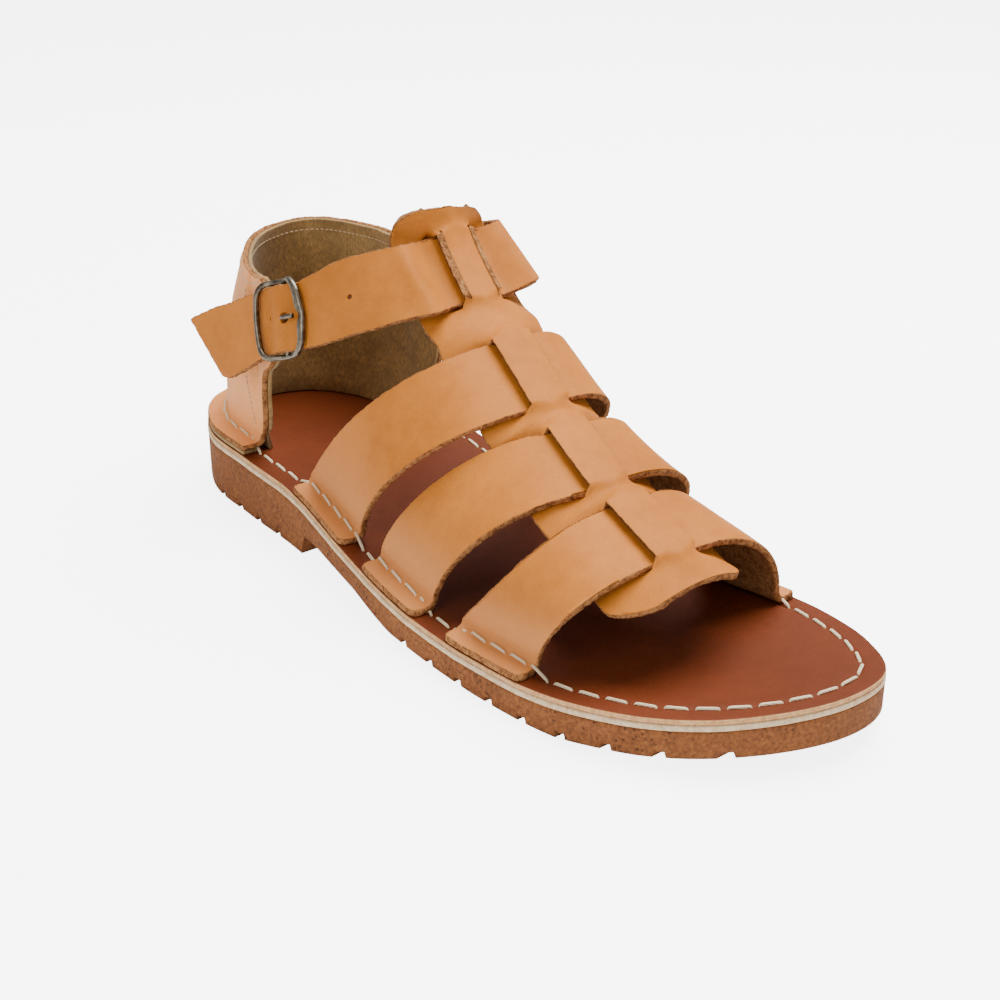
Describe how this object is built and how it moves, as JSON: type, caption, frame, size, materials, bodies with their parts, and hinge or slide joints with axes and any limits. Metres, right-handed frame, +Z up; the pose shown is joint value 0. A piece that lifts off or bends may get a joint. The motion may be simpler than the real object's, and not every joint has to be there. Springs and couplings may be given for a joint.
{
  "type": "gladiator sandal",
  "caption": "Flat leather gladiator sandal, right foot: woven instep spine with foot straps, buckled ankle strap, closed heel quarter and a stitched, lugged rubber sole.",
  "frame": {"origin": "under the middle of the sole's length and width, on the floor", "axes": "+Z up; +Y towards the heel, so the toe points to -Y; +X towards the inner (medial) side of the right foot, with the buckle on -X"},
  "size_m": [0.097, 0.285, 0.114],
  "materials": {
    "rubber_sole": "brown moulded rubber with fine cork-like specks, matt",
    "natural_leather": "undyed cut edge of the midsole, pale and smooth",
    "footbed_leather": "red-brown dyed leather, lightly waxed",
    "strap_leather": "tan oiled leather with raw fuzzy edges, satin",
    "quarter_leather": "tan oiled leather, satin",
    "suede_lining": "khaki suede, matt",
    "thread": "thick waxed cream thread",
    "buckle_metal": "antique nickel over brass, worn bright on the edges"
  },
  "bodies": {
    "root": {"outsole": "rubber_sole", "midsole": "natural_leather", "footbed": "footbed_leather", "upper": "strap_leather", "heel_quarter": "quarter_leather", "buckle_frame": "buckle_metal", "buckle_prong": "buckle_metal"}
  },
  "joints": []
}
